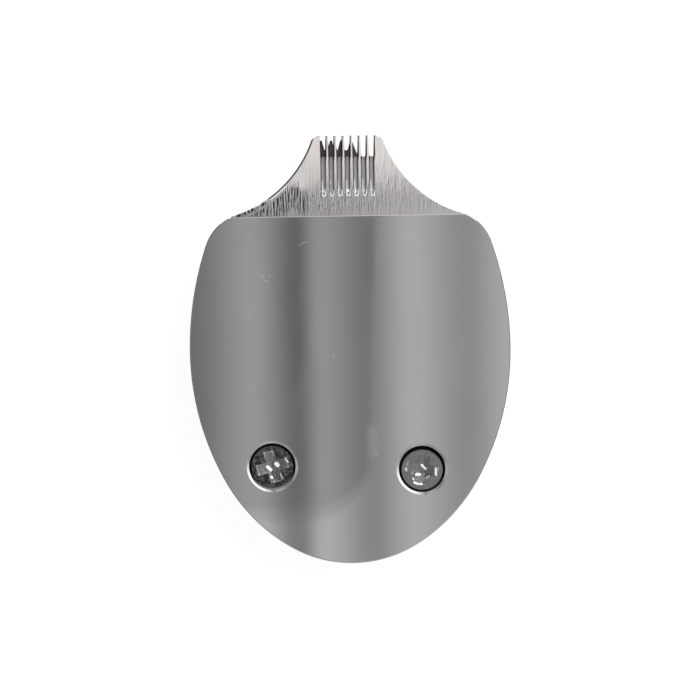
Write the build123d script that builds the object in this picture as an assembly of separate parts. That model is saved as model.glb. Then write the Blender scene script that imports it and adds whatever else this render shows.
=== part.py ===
from build123d import *
from math import cos, hypot, radians, sin, sqrt, tan
import os

# Narrow detail blade set for a hair trimmer, lying on its back as it would on a bench.
# Millimetres. +X is to the right, +Y points at the teeth and +Z out of the front face.
# The origin is under the middle of the shield, on the surface that the rim rests on.

# Outline of the fixed blade, seen from the front
shield_half_width = 16.0  # centre line to the widest point
shield_drop = 21.4  # widest line down to the bottom edge
tip_reach = 21.4  # widest line up to the tooth tips
bottom_radius = 12.25  # round bottom of the shield
side_radius = 32.5  # bow of the sides above the widest line
corner_radius = 4.7  # round shoulder between side and flare
flare_radius = 12.1  # hollow sweep from shoulder to tip
flare_angle = 17.3  # degrees between flare and centre line at the tip
tip_half_width = 3.45  # centre line to the flare at the tip
tip_corner_radius = 0.9
edge_round = 0.12  # broken edge round the front
ridge_round = 0.4  # eased ridge between shield and bevel

# Thickness and ground bevel of the fixed blade
blade_thickness = 2.2
tip_thickness = 0.3
bevel_length = 8.2  # tooth tips back to the line where the bevel starts
bevel_radius = 58.0  # grinding wheel that leaves the bevel hollow

# Tooth slots, ground from the front by a thin wheel with a flat rim
slot_count = 7
slot_pitch = 0.81
slot_floor = 0.28  # flat of the wheel's rim
slot_ease = 0.05  # rim corners taken off at 45 degrees
slot_flank = 9.0  # degrees that each slot wall leans
slot_slope = 16.0  # degrees that the slot bottom rises away from the tip
slot_through = 2.1  # length that is open to the back, from the tip
slot_straight = 4.8  # straight run of the slot bottom, from the tip
slot_runout_radius = 2.7  # wheel that lifts the slot bottom out of the bevel

# Blade screws and their recesses in the shield
screw_spacing = 14.94
screw_y = -11.86
screw_shift = -0.48  # the pair sits this far off the middle
screw_tilt = -1.8  # degrees that the line through the pair is turned
screw_thread = 2.5
screw_length = 6.0
screw_head = 4.3
screw_head_height = 1.1
screw_head_chamfer = 0.1
screw_fit = 0.02  # radial play of the thread in its boss
cross_span = 3.2  # recess, wing tip to wing tip
cross_wing = 1.0
cross_depth = 0.75
cross_taper = 12.0  # degrees that the recess walls lean
screw_turns = (14.0, -13.0)  # how far each recess is turned, left screw first
recess_width = 4.65
recess_depth = 1.3
recess_chamfer = 0.24  # width of the broken edge at the front
recess_chamfer_depth = 0.13
shank_clearance = 0.1  # radial play of the shank in the shield

# Moving cutter, behind the fixed blade
cutter_teeth = 4
cutter_pitch = 1.01
cutter_setback = 0.44  # fixed tips to cutter tips
cutter_tip_width = 0.18
gullet_depth = 1.0
gullet_round = 0.18
gullet_flank = 15.5  # degrees that each tooth flank leans
cutter_thickness = 1.0
cutter_tip_thickness = 0.25
cutter_bevel = 5.0  # length of the bevel on the back of the teeth
cutter_half_width = 7.5
cutter_heel_y = -1.5  # end away from the teeth
cutter_corner = 1.0
relief_depth = 0.15  # hollow on the sliding face
relief_from_y = 0.8
relief_to_y = 13.5
stroke = 1.1  # travel to each side of the middle
cutter_rest = -1.1  # where the cutter stands, off the middle
running_gap = 0.02  # cutter to fixed blade

# Drive yoke, carried on the back of the cutter
peg_diameter = 2.0
peg_spacing = 11.0
peg_y = 4.4
peg_fit = 0.02  # radial play of a peg in its hole
peg_recess = 0.3  # peg end below the sliding face
drive_slot_width = 3.0
drive_slot_length = 5.0
drive_slot_y = 1.6
yoke_wall = 1.5  # plastic round the drive slot
yoke_boss = 1.3  # height of the drive boss over the slab
yoke_chamfer = 0.4
slab_low_y = -2.45
slab_high_y = 6.95
slab_margin = 0.6  # slab beyond the spring at the end of the stroke
slab_corner = 0.8
guide_gap = 0.05  # slab to window edge, above and below

# Pressure spring, one bent wire
spring_wire = 0.7
spring_bend = 1.2  # bend radius of the wire's centre line
spring_bar_y = -8.0
spring_tip_y = 5.4
spring_play = 0.03  # wire to the faces that it lies on
arm_clearance = 0.5  # wire to drive boss at the end of the stroke

# Moulded base
collar_depth = 6.0  # rim to the back of the flange
flange_thickness = 2.5
flange_inset = 0.8  # shield edge to flange edge
flange_top_y = 10.4
flange_corner = 2.0
flange_round = 0.4  # back edge of the flange
collar_inset = 3.2  # shield edge to the outside of the collar
collar_top_y = 9.4
collar_corner = 3.0
collar_wall = 1.3
collar_lead = 0.4  # chamfer that guides the rim into the socket
stop_gap = 0.4  # yoke to window at the end of the stroke
pocket_gap = 0.5  # cutter to its pocket at the end of the stroke
bridge_gap = 0.08  # back of the cutter to the bridge behind it
boss_radius = 2.2
boss_floor = 0.8  # plastic under the screw's blind hole
boss_spare = 0.2  # depth of the blind hole past the screw
hook_y = -4.6
hook_length = 2.4
hook_thickness = 0.7
hook_post = 1.1
hook_play = 0.05
snap_length = 6.0
snap_radius = 0.5
snap_height = 0.4  # how far the snap rib stands out of the collar
snap_z = 1.3

# Levels along Z
flange_back = collar_depth
blade_back = flange_back + flange_thickness
blade_front = blade_back + blade_thickness
cutter_front = blade_back - running_gap
cutter_back = cutter_front - cutter_thickness
screw_seat = blade_front - recess_depth
spring_z = flange_back - spring_play - spring_wire / 2

# Places across the blade
bevel_start = tip_reach - bevel_length
cutter_tip_y = tip_reach - cutter_setback
boss_half_width = drive_slot_width / 2 + yoke_wall
arm_x = boss_half_width + stroke + arm_clearance + spring_wire / 2
slab_half_width = arm_x + spring_wire / 2 + stroke + slab_margin
window_half_width = slab_half_width + stroke + stop_gap
pocket_half_width = cutter_half_width + stroke + pocket_gap
screw_middle = Vector(screw_shift, screw_y)
screw_reach = Vector(screw_spacing / 2, 0).rotate(Axis.Z, screw_tilt)
screw_places = [screw_middle - screw_reach, screw_middle + screw_reach]

# Arc centres of the outline's right half
side_centre = Vector(shield_half_width - side_radius, 0)
flare_centre = Vector(
    tip_half_width + flare_radius * cos(radians(flare_angle)),
    tip_reach + flare_radius * sin(radians(flare_angle)),
)


def meeting_point(first, first_radius, second, second_radius):
    """The lower right of the two points at these distances from two centres."""
    line = second - first
    along = (first_radius**2 - second_radius**2 + line.length**2) / (2 * line.length)
    across = sqrt(first_radius**2 - along**2)
    way = line.normalized()
    return first + way * along + Vector(way.Y, -way.X) * across


corner_centre = meeting_point(
    side_centre, side_radius - corner_radius, flare_centre, flare_radius + corner_radius
)


def bow(centre, radius, start, end):
    """The short arc about a centre between two points on it."""
    middle = centre + ((start + end) / 2 - centre).normalized() * radius
    return ThreePointArc(start, middle, end)


def lower_edge(inset):
    """Three smooth arcs from each widest point to the bottom, a third of the quarter turn each."""
    third, two_thirds = radians(30), radians(60)
    rise = (shield_drop - shield_half_width) / (sin(two_thirds) - sin(third))
    flank_radius = bottom_radius + rise
    flank_share = 1 - cos(third)
    bottom_share = cos(two_thirds)
    hip_share = cos(third) - cos(two_thirds)
    hip_radius = (
        shield_half_width - flank_radius * flank_share - bottom_radius * bottom_share
    ) / hip_share
    edges = []
    centre = Vector(shield_half_width - flank_radius, 0)
    radii = [flank_radius, hip_radius, bottom_radius]
    for step, radius in enumerate(radii):
        from_angle = -third * step
        to_angle = -third * (step + 1)
        start = centre + Vector(cos(from_angle), sin(from_angle)) * (radius - inset)
        way = Vector(cos(to_angle), sin(to_angle))
        end = centre + way * (radius - inset)
        edges.append(bow(centre, radius - inset, start, end))
        if step < 2:
            centre = centre + way * (radius - radii[step + 1])
    return edges + [mirror(edge, about=Plane.YZ) for edge in edges]


def blade_outline():
    """Shield, shoulders, flares and tip as one face."""
    widest = Vector(shield_half_width, 0)
    shoulder = side_centre + (corner_centre - side_centre).normalized() * side_radius
    turn = corner_centre + (flare_centre - corner_centre).normalized() * corner_radius
    tip = Vector(tip_half_width, tip_reach)
    right = [
        bow(side_centre, side_radius, widest, shoulder),
        bow(corner_centre, corner_radius, shoulder, turn),
        bow(flare_centre, flare_radius, turn, tip),
    ]
    left = [mirror(edge, about=Plane.YZ) for edge in right]
    top = Line(tip, (-tip_half_width, tip_reach))
    face = make_face([*lower_edge(0), *right, top, *left])
    return fillet(face.vertices().sort_by(Axis.Y)[-2:], tip_corner_radius)


def shield_section(inset, top_y, corner):
    """The shield's outline moved inwards and cut straight across at the top."""
    radius = side_radius - inset
    widest = Vector(shield_half_width - inset, 0)
    end = Vector(side_centre.X + sqrt(radius**2 - top_y**2), top_y)
    right = bow(side_centre, radius, widest, end)
    left = mirror(right, about=Plane.YZ)
    face = make_face([*lower_edge(inset), right, Line(end, (-end.X, top_y)), left])
    return fillet(face.vertices().sort_by(Axis.Y)[-2:], corner)


def round_vee(radius, half_angle, height):
    """A vee with a round bottom at the origin, open towards +Y."""
    lean = radians(half_angle)
    touch = Vector(radius * cos(lean), radius * (1 - sin(lean)))
    top = Vector(touch.X + (height - touch.Y) * tan(lean), height)
    touch_left = Vector(-touch.X, touch.Y)
    top_left = Vector(-top.X, top.Y)
    bottom = ThreePointArc(touch_left, (0, 0), touch)
    return make_face([bottom, Line(touch, top), Line(top, top_left), Line(top_left, touch_left)])


def across(profile, half_width):
    """A profile drawn in Y and Z, run to both sides of the centre line."""
    return extrude(Plane.YZ * profile, amount=half_width, both=True)


def spread(count, pitch):
    """Evenly spaced places about the centre line."""
    return [(i - (count - 1) / 2) * pitch for i in range(count)]


def bevel_cut():
    """What the wheel grinds off the front of the tip."""
    start = Vector(bevel_start, blade_front)
    end = Vector(tip_reach, blade_back + tip_thickness)
    chord = end - start
    rise = sqrt(bevel_radius**2 - (chord.length / 2) ** 2)
    centre = (start + end) / 2 + Vector(-chord.Y, chord.X).normalized() * rise
    past_y = tip_reach + tip_thickness
    past = Vector(past_y, centre.Y - sqrt(bevel_radius**2 - (past_y - centre.X) ** 2))
    top_z = blade_front + blade_thickness
    ground = bow(centre, bevel_radius, start, past)
    lid = Polyline(past, (past_y, top_z), (bevel_start, top_z), start)
    return across(make_face([ground, lid]), shield_half_width)


def wheel_rim():
    """Section of the slotting wheel's rim, its flat at the origin."""
    shoulder = slot_floor / 2 + slot_ease
    top = shoulder + (blade_thickness - slot_ease) * tan(radians(slot_flank))
    right = [(slot_floor / 2, 0), (shoulder, slot_ease), (top, blade_thickness)]
    left = [(-x, y) for x, y in reversed(right)]
    return make_face(Polyline(*right, *left, close=True))


def slot_cut():
    """The path of the slotting wheel: straight in from the tip, then up and out."""
    lean = radians(slot_slope)
    bottom_z = blade_back + (slot_straight - slot_through) * tan(lean)
    inwards = Vector(0, -cos(lean), sin(lean))
    place = Plane((0, tip_reach - slot_straight, bottom_z), x_dir=(1, 0, 0), z_dir=inwards)
    profile = place * wheel_rim()
    straight = extrude(profile, amount=-2 * slot_straight)
    axle = Axis(place.origin + place.y_dir * slot_runout_radius, (-1, 0, 0))
    return straight + revolve(profile, axle, revolution_arc=70)


def screw_recess():
    """Stepped hole for one screw, with a broken edge at the front."""
    bore = Cylinder(
        screw_thread / 2 + shank_clearance, blade_thickness, align=(Align.CENTER, Align.CENTER, Align.MIN)
    )
    step = Cylinder(recess_width / 2, recess_depth, align=(Align.CENTER, Align.CENTER, Align.MIN))
    mouth = Cone(
        recess_width / 2,
        recess_width / 2 + recess_chamfer,
        recess_chamfer_depth,
        align=(Align.CENTER, Align.CENTER, Align.MAX),
    )
    return (
        Pos(0, 0, blade_back) * bore
        + Pos(0, 0, screw_seat) * step
        + Pos(0, 0, blade_front) * mouth
    )


def make_fixed_blade():
    plate = Pos(0, 0, blade_back) * extrude(blade_outline(), amount=blade_thickness)
    ground = plate - bevel_cut()
    ridge = [e for e in ground.edges().filter_by(Axis.X) if e.center().Z > blade_front - edge_round]
    ground = fillet(ridge, ridge_round)
    # The front edge runs on smoothly all the way round, so one piece of it takes the rest along.
    lower_front = ground.edges().filter_by(GeomType.CIRCLE).sort_by(Axis.Y)[:4].sort_by(Axis.Z)[-1]
    rounded = fillet(lower_front, edge_round)
    slotted = rounded - [Pos(x, 0, 0) * slot_cut() for x in spread(slot_count, slot_pitch)]
    return slotted - [Pos(place) * screw_recess() for place in screw_places]


def make_moving_cutter():
    head_half_width = ((cutter_teeth - 1) * cutter_pitch + cutter_tip_width) / 2
    sweep_radius = hypot(flare_centre.X - head_half_width, flare_centre.Y - cutter_tip_y)
    length = cutter_tip_y - cutter_heel_y
    blank = Pos(0, cutter_heel_y) * Rectangle(
        2 * cutter_half_width, length, align=(Align.CENTER, Align.MIN)
    )
    for side in (1, -1):
        blank -= Pos(side * flare_centre.X, flare_centre.Y) * Circle(sweep_radius)
    shoulders = [v for v in blank.vertices() if abs(v.X) > cutter_half_width - cutter_corner]
    blank = fillet(shoulders, cutter_corner)
    for x in spread(cutter_teeth - 1, cutter_pitch):
        gullet = round_vee(gullet_round, gullet_flank, 2 * gullet_depth)
        blank -= Pos(x, cutter_tip_y - gullet_depth) * gullet
    plate = Pos(0, 0, cutter_back) * extrude(blank, amount=cutter_thickness)
    slope = (cutter_thickness - cutter_tip_thickness) / cutter_bevel
    past_y = cutter_tip_y + cutter_bevel
    back_bevel = make_face(
        Polyline(
            (cutter_tip_y - cutter_bevel, cutter_back),
            (past_y, cutter_back + 2 * cutter_bevel * slope),
            (past_y, cutter_back),
            close=True,
        )
    )
    plate -= across(back_bevel, cutter_half_width)
    hollow = Pos((relief_from_y + relief_to_y) / 2, cutter_front) * Rectangle(
        relief_to_y - relief_from_y, 2 * relief_depth
    )
    plate -= across(hollow, 2 * cutter_half_width)
    for x in spread(2, peg_spacing):
        plate -= Pos(x, peg_y, cutter_back) * Cylinder(peg_diameter / 2 + peg_fit, 3 * cutter_thickness)
    return Pos(cutter_rest, 0, 0) * plate


def make_drive_yoke():
    slab_length = slab_high_y - slab_low_y
    slab_thickness = cutter_back - flange_back
    slab = extrude(
        Pos(0, slab_low_y + slab_length / 2)
        * RectangleRounded(2 * slab_half_width, slab_length, slab_corner),
        amount=slab_thickness,
    )
    boss_length = drive_slot_length + 2 * yoke_wall
    boss = extrude(
        Pos(0, drive_slot_y)
        * RectangleRounded(2 * boss_half_width, boss_length, boss_half_width - yoke_chamfer),
        amount=-yoke_boss,
    )
    boss = chamfer(boss.faces().sort_by(Axis.Z)[0].edges(), yoke_chamfer)
    slot = Pos(0, drive_slot_y) * SlotOverall(drive_slot_length, drive_slot_width, rotation=90)
    body = slab + boss - extrude(slot, amount=2 * (slab_thickness + yoke_boss), both=True)
    pegs = [
        Pos(x, peg_y, slab_thickness)
        * Cylinder(
            peg_diameter / 2,
            cutter_thickness - peg_recess,
            align=(Align.CENTER, Align.CENTER, Align.MIN),
        )
        for x in spread(2, peg_spacing)
    ]
    return Pos(cutter_rest, 0, flange_back) * (body + pegs)


def make_pressure_spring():
    corners = [
        (-arm_x, spring_tip_y),
        (-arm_x, spring_bar_y),
        (arm_x, spring_bar_y),
        (arm_x, spring_tip_y),
    ]
    path = Pos(0, 0, spring_z) * FilletPolyline(*corners, radius=spring_bend)
    section = Plane(path @ 0, z_dir=path % 0) * Circle(spring_wire / 2)
    return sweep(section, path)


def spring_hook(side):
    """A post beside one spring arm, with a lip that holds the arm down."""
    inner_x = arm_x + spring_wire / 2 + hook_play
    lip_z = spring_z - spring_wire / 2 - hook_play
    low_z = lip_z - hook_thickness
    post = Pos(inner_x, hook_y, low_z) * Box(
        hook_post, hook_length, flange_back - low_z, align=(Align.MIN, Align.CENTER, Align.MIN)
    )
    lip = Pos(arm_x - spring_wire / 2, hook_y, low_z) * Box(
        inner_x - arm_x + spring_wire / 2 + hook_post,
        hook_length,
        hook_thickness,
        align=(Align.MIN, Align.CENTER, Align.MIN),
    )
    hook = post + lip
    return hook if side > 0 else mirror(hook, about=Plane.YZ)


def screw_boss():
    """Blind post that a screw bites into, standing on the back of the flange."""
    hole_end = screw_seat - screw_length - boss_spare
    low_z = hole_end - boss_floor
    post = Pos(0, 0, low_z) * Cylinder(
        boss_radius, blade_back - low_z, align=(Align.CENTER, Align.CENTER, Align.MIN)
    )
    hole = Pos(0, 0, hole_end) * Cylinder(
        screw_thread / 2 + screw_fit,
        blade_back - hole_end,
        align=(Align.CENTER, Align.CENTER, Align.MIN),
    )
    return post, hole


def make_blade_base():
    flange = extrude(shield_section(flange_inset, flange_top_y, flange_corner), amount=flange_thickness)
    flange = fillet(flange.faces().sort_by(Axis.Z)[0].edges(), flange_round)
    collar = extrude(shield_section(collar_inset, collar_top_y, collar_corner), amount=collar_depth)
    collar = chamfer(collar.faces().sort_by(Axis.Z)[0].edges(), collar_lead)
    inside = shield_section(
        collar_inset + collar_wall, collar_top_y - collar_wall, collar_corner - collar_wall
    )
    base = Pos(0, 0, flange_back) * flange + (collar - extrude(inside, amount=collar_depth))
    window_low = slab_low_y - guide_gap
    window_high = slab_high_y + guide_gap
    base -= Pos(0, (window_low + window_high) / 2, flange_back) * Box(
        2 * window_half_width,
        window_high - window_low,
        flange_thickness,
        align=(Align.CENTER, Align.CENTER, Align.MIN),
    )
    bridge_front = cutter_back - bridge_gap
    base -= Pos(0, cutter_heel_y - pocket_gap, bridge_front) * Box(
        2 * pocket_half_width,
        tip_reach - cutter_heel_y,
        blade_back - bridge_front,
        align=(Align.CENTER, Align.MIN, Align.MIN),
    )
    post, hole = screw_boss()
    for place in screw_places:
        base = base + Pos(place) * post - Pos(place) * hole
    for side in (1, -1):
        base += spring_hook(side)
        rib_x = side * (shield_half_width - collar_inset + snap_height - snap_radius)
        base += Pos(rib_x, 0, snap_z) * Rot(90, 0, 0) * Cylinder(snap_radius, snap_length)
    return base


def blade_screw(turn):
    """Low-headed screw with a cross recess, its head seated at Z zero."""
    head = Cylinder(screw_head / 2, screw_head_height, align=(Align.CENTER, Align.CENTER, Align.MIN))
    head = chamfer(head.edges().sort_by(Axis.Z)[-1], screw_head_chamfer)
    shank = Cylinder(screw_thread / 2, screw_length, align=(Align.CENTER, Align.CENTER, Align.MAX))
    shank = chamfer(shank.edges().sort_by(Axis.Z)[0], screw_thread / 6)
    wing = Rectangle(cross_span, cross_wing)
    cross = Pos(0, 0, screw_head_height) * (wing + Rot(0, 0, 90) * wing)
    recess = extrude(cross, amount=-cross_depth, taper=cross_taper)
    return Rot(0, 0, turn) * (head + shank - recess)


def make_blade_screws():
    seat = Pos(0, 0, screw_seat)
    return Compound(
        [seat * Pos(place) * blade_screw(turn) for place, turn in zip(screw_places, screw_turns)]
    )


os.makedirs("parts", exist_ok=True)
pieces = {
    "fixed_blade": make_fixed_blade(),
    "moving_cutter": make_moving_cutter(),
    "drive_yoke": make_drive_yoke(),
    "pressure_spring": make_pressure_spring(),
    "blade_base": make_blade_base(),
    "blade_screws": make_blade_screws(),
}
for node, shape in pieces.items():
    export_step(shape, f"parts/{node}.step")
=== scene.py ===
# %% [markdown]
# A narrow detail blade set for a hair trimmer
#
# A steel shield ends in a ground, toothed tip. A second, dark cutter slides behind it, carried by
# a plastic yoke and pressed forward by a bent wire, and a black moulded base holds it all.
# The solids come packed from CAD. This lesson gives each of them the surface of the real material,
# makes the two screws with Geometry Nodes, and lights the set like a small product photograph.

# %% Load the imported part
import math

import bpy
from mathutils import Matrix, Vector


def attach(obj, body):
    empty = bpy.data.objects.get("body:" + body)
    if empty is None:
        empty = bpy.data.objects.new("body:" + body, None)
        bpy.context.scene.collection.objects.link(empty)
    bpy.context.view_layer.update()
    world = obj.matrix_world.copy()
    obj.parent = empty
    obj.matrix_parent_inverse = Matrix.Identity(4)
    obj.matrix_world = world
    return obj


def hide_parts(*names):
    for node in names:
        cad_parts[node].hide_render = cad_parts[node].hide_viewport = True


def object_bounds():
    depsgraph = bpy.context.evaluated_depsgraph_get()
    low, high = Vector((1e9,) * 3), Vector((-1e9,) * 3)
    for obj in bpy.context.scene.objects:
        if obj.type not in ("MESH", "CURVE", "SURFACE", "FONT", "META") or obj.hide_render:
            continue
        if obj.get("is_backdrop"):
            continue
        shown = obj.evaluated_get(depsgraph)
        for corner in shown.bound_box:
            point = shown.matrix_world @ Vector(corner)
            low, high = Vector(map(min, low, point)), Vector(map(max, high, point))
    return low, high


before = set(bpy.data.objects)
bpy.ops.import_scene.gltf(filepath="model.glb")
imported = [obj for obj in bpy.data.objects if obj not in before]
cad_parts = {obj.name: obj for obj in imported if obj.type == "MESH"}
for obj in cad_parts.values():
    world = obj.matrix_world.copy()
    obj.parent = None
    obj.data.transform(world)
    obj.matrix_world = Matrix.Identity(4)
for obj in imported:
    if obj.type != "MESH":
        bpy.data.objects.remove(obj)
cad_low, cad_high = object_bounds()
scene = bpy.context.scene
MM = 0.001
print("CAD box in mm:", [round(x / MM, 2) for x in cad_high - cad_low])

# %% [markdown]
# A few helpers carry the whole lesson. Colours are written as sRGB hex, the way a colour picker
# shows them, and shaders want linear light, so one function converts. Another adds one node, sets
# its properties, and fills its inputs with values or with links. It serves shader trees and
# geometry trees alike. A link may be given as a node, and then its first open output is taken.
# A ramp gets its grey stops from a list of places and levels, from -reach to reach. A mask is
# narrowed by limits: each names a value, where it lets nothing pass and where it lets all pass.
# Masks join by the largest of them. Node groups get their sockets by kind.

# %% Colour and node helpers


def linear(hex_colour):
    channels = [int(hex_colour[i : i + 2], 16) / 255 for i in (1, 3, 5)]
    bent = [c / 12.92 if c <= 0.04045 else ((c + 0.055) / 1.055) ** 2.4 for c in channels]
    return (*bent, 1.0)


def add(tree, kind, inputs=None, **settings):
    node = tree.nodes.new(kind)
    for name, value in settings.items():
        setattr(node, name, value)
    for key, value in (inputs or {}).items():
        if isinstance(value, bpy.types.Node):
            value = next(output for output in value.outputs if output.enabled)
        if isinstance(value, bpy.types.NodeSocket):
            tree.links.new(value, node.inputs[key])
        else:
            node.inputs[key].default_value = value
    return node


def new_material(name):
    material = bpy.data.materials.new(name)
    material.use_nodes = True
    material.node_tree.nodes.clear()
    return material, material.node_tree


def wear(piece, material):
    piece.data.materials.clear()
    piece.data.materials.append(material)
    print(piece.name, "is now", material.name)


def set_stops(ramp, stops, reach):
    elements = ramp.color_ramp.elements
    while len(elements) < len(stops):
        elements.new(0.5)
    for element, (where, level) in zip(elements, stops):
        element.position = (where / reach + 1) / 2
        element.color = (level, level, level, 1)


def within(tree, mask, *limits):
    for value, start, end in limits:
        near = add(tree, "ShaderNodeMapRange", {"Value": value, "From Min": start, "From Max": end})
        mask = add(tree, "ShaderNodeMath", {0: mask, 1: near}, operation="MULTIPLY")
    return mask


def largest(tree, mask, *others):
    for other in others:
        mask = add(tree, "ShaderNodeMath", {0: other, 1: mask}, operation="MAXIMUM")
    return mask


def sockets(tree, way, kind, *names):
    for name in names:
        tree.interface.new_socket(name, in_out=way, socket_type="NodeSocket" + kind)


# The Mix node keeps its sockets for numbers and for colours at these places.
FACTOR, NUMBER_A, NUMBER_B, COLOUR_A, COLOUR_B = 0, 2, 3, 6, 7
print("White in linear light:", linear("#ffffff")[:3])

# %% [markdown]
# The photograph looks straight down on the shield from a fair distance. The picture is square and
# shows a field just under 70 mm wide at the shield's face. The set lies turned by nearly a degree
# in it, so the camera is rolled by that much.

# %% Camera
FIELD = 69.8 * MM
CAMERA_DISTANCE = 300 * MM
CAMERA_ROLL = math.radians(-0.9)
AIM = Vector((-0.02 * MM, -0.12 * MM, cad_high.z))
SENSOR = 36.0
CLIP_NEAR, CLIP_FAR = 0.01, 20.0

camera_data = bpy.data.cameras.new("camera")
camera_data.sensor_width = SENSOR
camera_data.lens = SENSOR * CAMERA_DISTANCE / FIELD
camera_data.clip_start = CLIP_NEAR
camera_data.clip_end = CLIP_FAR
camera = bpy.data.objects.new("camera", camera_data)
camera.location = AIM + Vector((0, 0, CAMERA_DISTANCE))
camera.rotation_euler = (0, 0, CAMERA_ROLL)
scene.collection.objects.link(camera)
scene.camera = camera
scene.view_settings.view_transform = "Standard"
print("Lens:", round(camera_data.lens, 1), "mm")

# %% [markdown]
# Polished steel has almost no colour of its own: it shows the room. So the room is built first.
# A white world and a pale floor give the white background. The paper of the floor glows for the
# camera and in reflections, and more softly for the plastic, so that it fills the hollow of the
# base with light. A small matt part of it takes the shadow. From below it is clear, so the back
# of the set can be looked at too.

# %% World and floor
AMBIENT = 0.55
FLOOR_HALF = 3.0
GLOW = 0.93
PAPER, FLOOR_FILL = 0.14, 0.5


def seen_directly(tree):
    path = add(tree, "ShaderNodeLightPath").outputs
    rays = ("Is Camera Ray", "Is Glossy Ray", "Is Transmission Ray")
    return largest(tree, *[path[ray] for ray in rays])


def stage_mesh(name, points, faces):
    mesh = bpy.data.meshes.new(name)
    mesh.from_pydata(points, [], faces)
    piece = bpy.data.objects.new(name, mesh)
    scene.collection.objects.link(piece)
    piece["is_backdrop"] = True
    return piece


def square(name, half, middle):
    corners = [(-half, -half, 0), (half, -half, 0), (half, half, 0), (-half, half, 0)]
    return stage_mesh(name, [middle + Vector(corner) for corner in corners], [(0, 1, 2, 3)])


world = bpy.data.worlds.new("white_studio")
scene.world = world
world.use_nodes = True
tree = world.node_tree
tree.nodes.clear()
level = {"Value": seen_directly(tree), "To Min": AMBIENT, "To Max": 1.0}
level = add(tree, "ShaderNodeMapRange", level)
background = add(tree, "ShaderNodeBackground", {"Strength": level})
add(tree, "ShaderNodeOutputWorld", {"Surface": background})

floor = square("floor", FLOOR_HALF, Vector((0, 0, 0)))
paper, tree = new_material("white_paper")
shine = add(tree, "ShaderNodeMath", {0: seen_directly(tree), 1: GLOW}, operation="MULTIPLY")
fill = add(tree, "ShaderNodeLightPath").outputs["Is Diffuse Ray"]
shine = add(tree, "ShaderNodeMath", {0: fill, 1: FLOOR_FILL, 2: shine}, operation="MULTIPLY_ADD")
glow = add(tree, "ShaderNodeEmission", {"Strength": shine})
matt = add(tree, "ShaderNodeBsdfDiffuse", {"Color": (PAPER, PAPER, PAPER, 1)})
lit = add(tree, "ShaderNodeAddShader", {0: glow, 1: matt})
clear = add(tree, "ShaderNodeBsdfTransparent")
below = add(tree, "ShaderNodeNewGeometry").outputs["Backfacing"]
both = add(tree, "ShaderNodeMixShader", {0: below, 1: lit, 2: clear})
add(tree, "ShaderNodeOutputMaterial", {"Surface": both})
wear(floor, paper)

# %% [markdown]
# Above the camera hangs a card with soft strips of light. The shield mirrors it as upright bands,
# so the strips are listed by where they show on the shield. Towards the teeth the card carries one
# broad panel, which the ground bevel mirrors. The panel is brightest where the tips look at it,
# faintly warm on the left, and dark beyond a line there that slants at first and then runs
# straight. All these lights are seen only in reflections, so they neither hide the set nor change
# the light on the plastic.

# %% Card with strips and panel
CARD_GAP = 30 * MM
CARD_HEIGHT = camera.location.z + CARD_GAP
CARD_HALF = 0.27
MIRROR_SPREAD = 1 + (CARD_HEIGHT - cad_high.z) / CAMERA_DISTANCE

# Where each strip or gap shows on the shield, in mm from the middle, and how bright it is.
STRIPS = [
    (-16.0, 0.38),
    (-9.6, 0.80),
    (-5.2, 0.30),
    (-3.0, 0.74),
    (2.2, 0.41),
    (6.2, 0.71),
    (11.7, 0.45),
    (16.0, 0.70),
]
STRIP_REACH = 20.0

# The panel, in metres from the middle of the card towards the teeth.
PANEL_START, PANEL_FULL = 0.125, 0.145
PANEL_FADE, PANEL_END = 0.190, 0.225
PANEL_BRIGHT, PANEL_DIM = 1.38, 0.94
PANEL_LEFT_DIM, PANEL_TURN = 0.42, 0.03
PANEL_WHITE, PANEL_WARM = linear("#ffffff"), linear("#fff1ed")
# The dark part's edge, how it slants up to its turn, how soft it is, and the light left beyond it.
DARK_X, DARK_LEAN, DARK_TURN = -0.031, 1.5, 0.205
DARK_SOFT, DARK_LEVEL = 0.012, 0.06


def only_in_reflections(piece):
    for ray in ("camera", "diffuse", "transmission", "volume_scatter", "shadow"):
        setattr(piece, "visible_" + ray, False)


card = square("strip_card", CARD_HALF, Vector((0, 0, CARD_HEIGHT)))
only_in_reflections(card)
strips, tree = new_material("light_strips")
place = add(tree, "ShaderNodeTexCoord").outputs["Object"]
axes = add(tree, "ShaderNodeSeparateXYZ", {0: place}).outputs
reach = STRIP_REACH * MM * MIRROR_SPREAD
across = add(tree, "ShaderNodeMapRange", {"Value": axes["X"], "From Min": -reach, "From Max": reach})
ramp = add(tree, "ShaderNodeValToRGB", {0: across})
ramp.color_ramp.interpolation = "EASE"
set_stops(ramp, STRIPS, STRIP_REACH)

fade = {"Value": axes["Y"], "From Min": PANEL_FADE, "From Max": PANEL_END}
late = add(tree, "ShaderNodeMapRange", fade, interpolation_type="SMOOTHSTEP")
side = {"Value": axes["X"], "From Min": -PANEL_TURN, "From Max": PANEL_TURN}
side = add(tree, "ShaderNodeMapRange", side)
dim = {FACTOR: side, NUMBER_A: PANEL_DIM * PANEL_LEFT_DIM, NUMBER_B: PANEL_DIM}
dim = add(tree, "ShaderNodeMix", dim)
panel = add(tree, "ShaderNodeMix", {FACTOR: late, NUMBER_A: PANEL_BRIGHT, NUMBER_B: dim})
early = add(tree, "ShaderNodeMath", {0: axes["Y"], 1: DARK_TURN}, operation="SUBTRACT")
early = add(tree, "ShaderNodeMath", {0: early, 1: 0.0}, operation="MINIMUM")
lean = {0: early, 1: -DARK_LEAN, 2: axes["X"]}
lean = add(tree, "ShaderNodeMath", lean, operation="MULTIPLY_ADD")
gap = {"Value": lean, "From Min": DARK_X - DARK_SOFT, "From Max": DARK_X + DARK_SOFT}
gap = {**gap, "To Min": DARK_LEVEL}
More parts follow.
